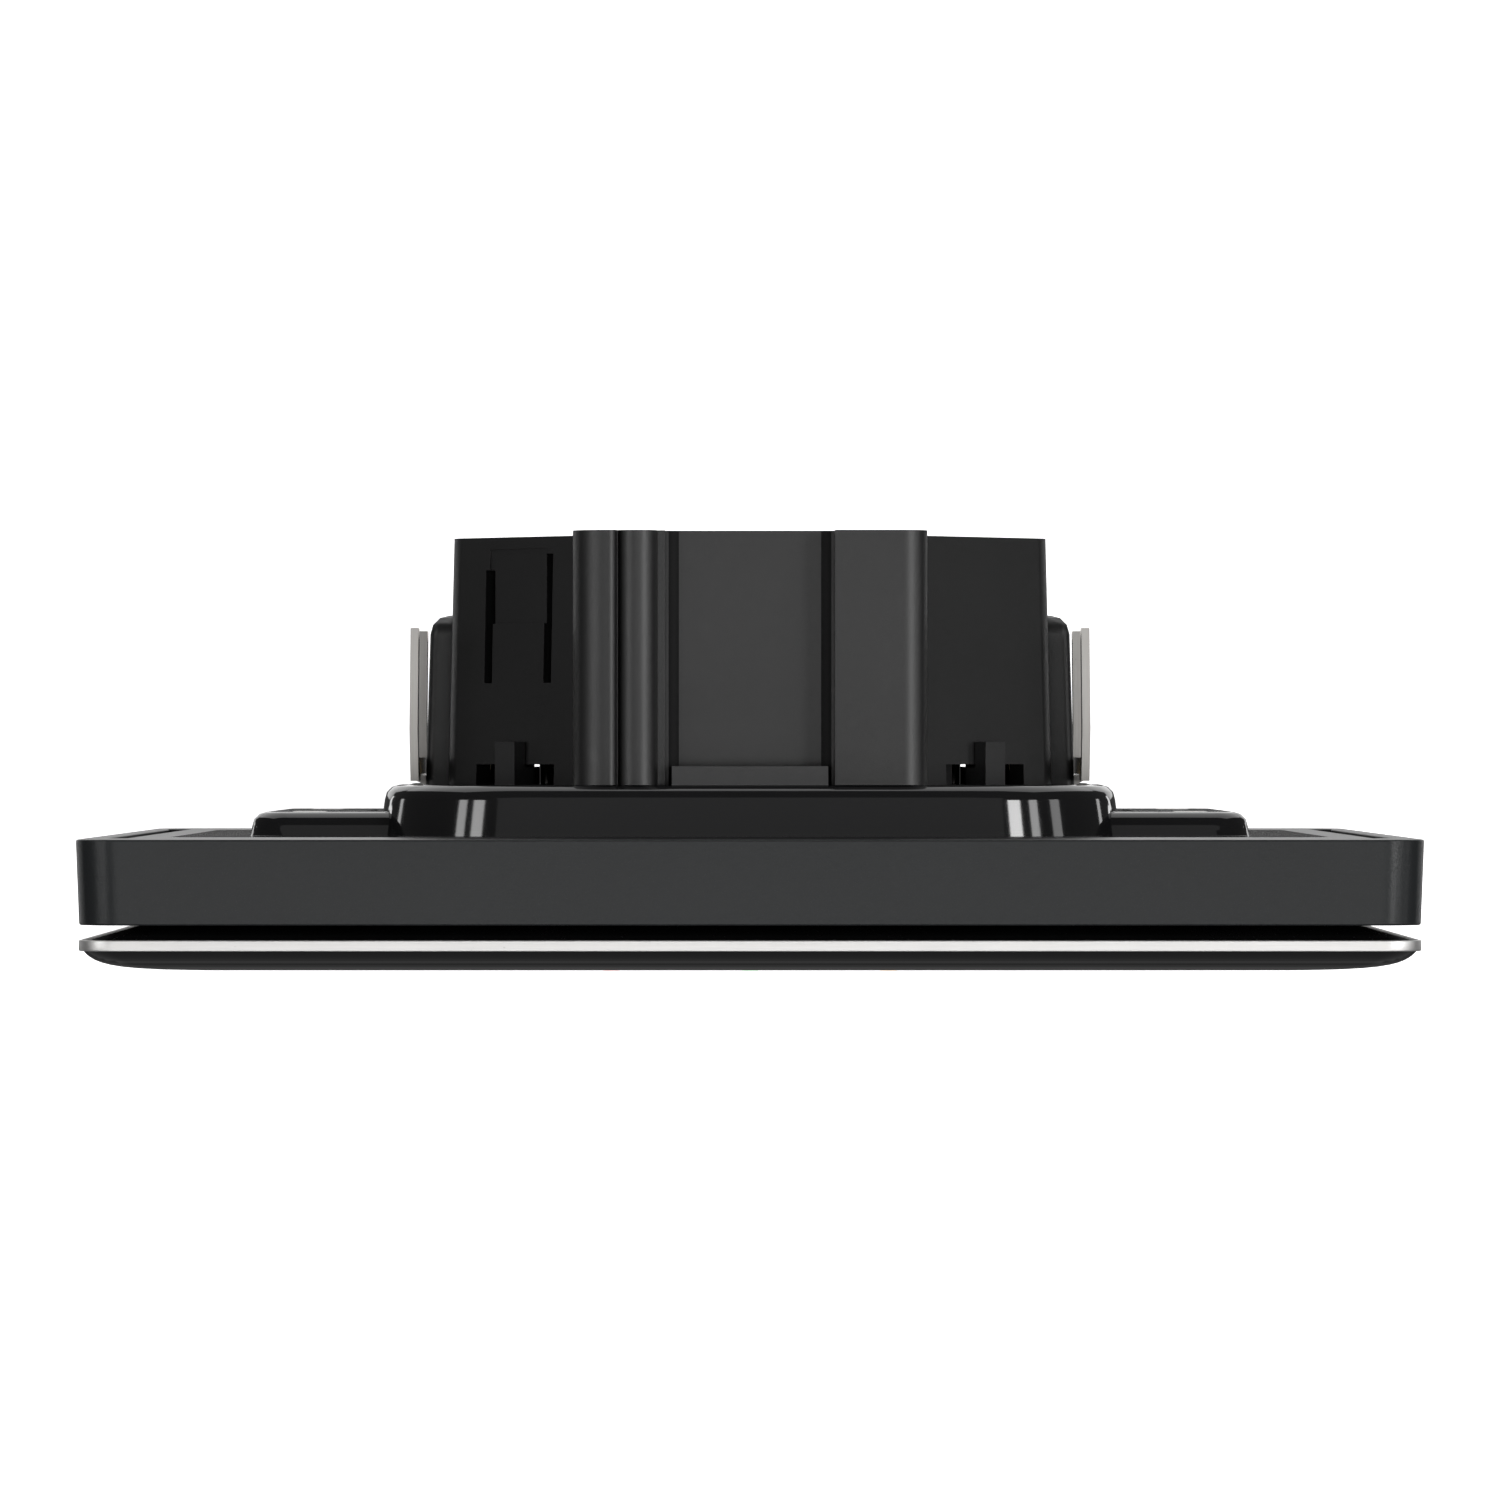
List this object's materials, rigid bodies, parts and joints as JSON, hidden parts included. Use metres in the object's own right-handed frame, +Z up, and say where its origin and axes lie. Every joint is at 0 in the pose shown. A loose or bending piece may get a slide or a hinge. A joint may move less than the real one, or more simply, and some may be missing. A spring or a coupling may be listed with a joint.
{
  "type": "alarm keypad panel",
  "caption": "Square flush-mounted alarm keypad with a black glass touch front, steel rim and dark frame, and a round-box housing with spreading claws behind.",
  "frame": {"origin": "middle of the two box screw holes, on the wall plane (the frame's rear face)", "axes": "+Y into the wall, which is the way the wall box leaves; -Y out of the glass into the room; +Z up; +X to the right as seen from the room"},
  "size_m": [0.0864, 0.0289, 0.0864],
  "materials": {
    "frame_plastic": "fine metallic anthracite lacquer, satin",
    "gloss_carrier": "high gloss black moulding",
    "housing_plastic": "matt black moulding with a fine grain",
    "plated_steel": "zinc plated",
    "claw_steel": "bright stamped sheet with brushed cut edges",
    "brass_nut": "machined",
    "gold_contacts": "gold flashed",
    "circuit_board": "green solder mask",
    "connector_plastic": "moulded",
    "chip_epoxy": "matt moulded epoxy",
    "coil_ferrite": "sintered",
    "capacitor_can": "drawn can with a printed stripe",
    "plunger_plastic": "natural acetal",
    "plug_plastic": "green moulded terminal",
    "rim_steel": "fine satin with bright edges",
    "black_glass": "black-backed gloss glass with printed keys",
    "foam_tape": "closed-cell adhesive foam",
    "tray_plastic": "semi-gloss black moulding",
    "guide_plastic": "milky clear acrylic",
    "led_lens": "clear epoxy"
  },
  "bodies": {
    "base": {"surround_frame": "frame_plastic", "support_carrier": "gloss_carrier", "rear_housing": "housing_plastic", "claw_pins": "plated_steel", "cover_clips": "plated_steel", "main_board": "circuit_board", "board_screws": "plated_steel", "link_socket": "connector_plastic", "bus_header": "connector_plastic", "bus_pins": "gold_contacts", "microcontroller": "chip_epoxy", "bus_transceiver": "chip_epoxy", "supply_coil": "coil_ferrite", "capacitors": "capacitor_can", "piezo_sounder": "connector_plastic", "tamper_switch": "connector_plastic"},
    "cover": {"trim_rim": "rim_steel", "cover_glass": "black_glass", "glass_tape": "foam_tape", "cover_back": "tray_plastic", "light_guide": "guide_plastic", "touch_board": "circuit_board", "touch_chip": "chip_epoxy", "key_leds": "led_lens", "link_plug": "connector_plastic", "link_pins": "gold_contacts"},
    "claw_left": {"claw_left": "claw_steel"},
    "claw_right": {"claw_right": "claw_steel"},
    "claw_nut_left": {"claw_nut_left": "brass_nut"},
    "claw_nut_right": {"claw_nut_right": "brass_nut"},
    "claw_screw_left": {"claw_screw_left": "plated_steel"},
    "claw_screw_right": {"claw_screw_right": "plated_steel"},
    "tamper_plunger": {"tamper_plunger": "plunger_plastic", "tamper_spring": "plated_steel"},
    "bus_plug": {"bus_plug": "plug_plastic", "bus_plug_screws": "plated_steel"}
  },
  "joints": [
    {"name": "cover_pull", "type": "slide", "parent": "base", "child": "cover", "axis": [0, -1, 0], "range_m": [0, 0.02]},
    {"name": "tamper_press", "type": "slide", "parent": "base", "child": "tamper_plunger", "axis": [0, 1, 0], "range_m": [0, 0.0005], "stiffness_N_per_m": 200, "springref_m": -0.0015, "deforming": ["tamper_spring"]},
    {"name": "bus_plug_pull", "type": "slide", "parent": "base", "child": "bus_plug", "axis": [0, 1, 0], "range_m": [0, 0.012]},
    {"name": "claw_nut_left_travel", "type": "slide", "parent": "base", "child": "claw_nut_left", "axis": [0, -1, 0], "range_m": [0, 0.00171]},
    {"name": "claw_screw_left_turn", "type": "hinge", "parent": "base", "child": "claw_screw_left", "pos_m": [-0.0195, 0, 0], "axis": [0, 1, 0], "range_deg": [0, 1368]},
    {"name": "claw_left_swing", "type": "hinge", "parent": "base", "child": "claw_left", "pos_m": [-0.0168, 0.0012, 0], "axis": [0, 0, 1], "range_deg": [0, 30]},
    {"name": "claw_nut_right_travel", "type": "slide", "parent": "base", "child": "claw_nut_right", "axis": [0, -1, 0], "range_m": [0, 0.00171]},
    {"name": "claw_screw_right_turn", "type": "hinge", "parent": "base", "child": "claw_screw_right", "pos_m": [0.0195, 0, 0], "axis": [0, 1, 0], "range_deg": [0, 1368]},
    {"name": "claw_right_swing", "type": "hinge", "parent": "base", "child": "claw_right", "pos_m": [0.0168, 0.0012, 0], "axis": [0, 0, -1], "range_deg": [0, 30]}
  ],
  "couplings": [
    {"joint": "claw_screw_left_turn", "follows": "claw_nut_left_travel", "rad_per_m": 13963},
    {"joint": "claw_left_swing", "follows": "claw_nut_left_travel", "rad_per_m": 306.19},
    {"joint": "claw_screw_right_turn", "follows": "claw_nut_right_travel", "rad_per_m": 13963},
    {"joint": "claw_right_swing", "follows": "claw_nut_right_travel", "rad_per_m": 306.19}
  ]
}
